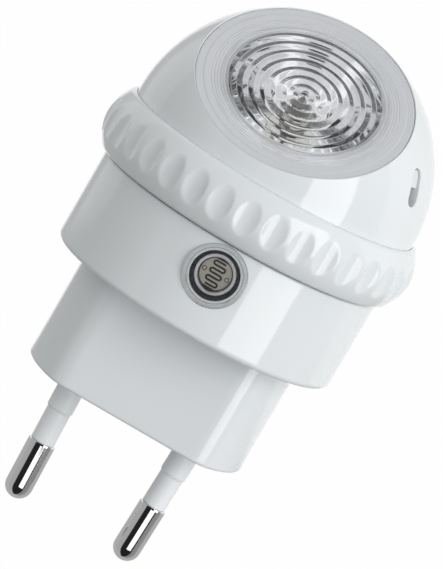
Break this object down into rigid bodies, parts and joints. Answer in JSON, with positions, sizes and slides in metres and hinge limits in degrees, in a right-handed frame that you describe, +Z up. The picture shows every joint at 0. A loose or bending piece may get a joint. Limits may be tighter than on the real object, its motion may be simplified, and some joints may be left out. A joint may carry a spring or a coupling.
{
  "type": "plug-in night light",
  "caption": "Night light that plugs into a two-pin wall socket, with a light sensor and a round lamp head that turns about the plug axis.",
  "frame": {"origin": "centre of the plug face, midway between the pins", "axes": "as it sits in a wall socket: +Y runs into the socket along the pins, +Z is up and is the sensor side, X runs from pin to pin"},
  "size_m": [0.0479, 0.0808, 0.0479],
  "materials": {
    "white_housing": "glossy white injection-moulded plastic",
    "white_inner": "satin white plastic, inside",
    "sleeve": "satin bluish-white insulation",
    "pin_metal": "polished nickel plate",
    "contact_metal": "bright brass strip",
    "screw_steel": "zinc-plated steel",
    "board_green": "green lacquered laminate",
    "board_white": "white lacquered laminate",
    "film_yellow": "yellow moulded case",
    "can_dark": "plain dark shrink sleeve",
    "black_case": "black moulded epoxy",
    "resistor_tan": "tan lacquer",
    "header_ivory": "ivory nylon",
    "sensor_face": "ceramic disc with a brown meander track",
    "lead_metal": "tinned wire",
    "sensor_rim": "grey metal rim",
    "black_rubber": "black rubber",
    "clear_window": "clear plastic cap",
    "clear_lens": "clear ribbed plastic lens",
    "mirror_cup": "plastic cup with a mirror coating",
    "washer_felt": "grey friction washer",
    "washer_steel": "stamped steel",
    "led_clear": "clear epoxy",
    "cable_grey": "grey cable sheath"
  },
  "bodies": {
    "housing": {"plug_base": "white_housing", "pin_left": "pin_metal", "pin_right": "pin_metal", "sleeve_left": "sleeve", "sleeve_right": "sleeve", "contact_left": "contact_metal", "contact_right": "contact_metal", "body_shell": "white_housing", "circuit_board": "board_green", "board_screws": "screw_steel", "film_capacitor": "film_yellow", "electrolytic_capacitor": "can_dark", "bridge_rectifier": "black_case", "resistors": "resistor_tan", "transistor": "black_case", "cable_header": "header_ivory", "light_sensor": "sensor_face", "sensor_leads": "lead_metal", "sensor_collar": "sensor_rim", "sensor_gasket": "black_rubber", "sensor_window": "clear_window", "friction_washer": "washer_felt"},
    "head": {"head_carrier": "white_inner", "retaining_washer": "washer_steel", "hub_screws": "screw_steel", "grip_ring": "white_housing", "head_dome": "white_housing", "lens": "clear_lens", "reflector": "mirror_cup", "led_board": "board_white", "led_board_screws": "screw_steel", "led": "led_clear", "led_cable": "cable_grey"}
  },
  "joints": [
    {"name": "head_turn", "type": "hinge", "parent": "housing", "child": "head", "pos_m": [0, -0.033, 0], "axis": [0, 1, 0], "range_deg": [-179.9, 159.1]}
  ]
}
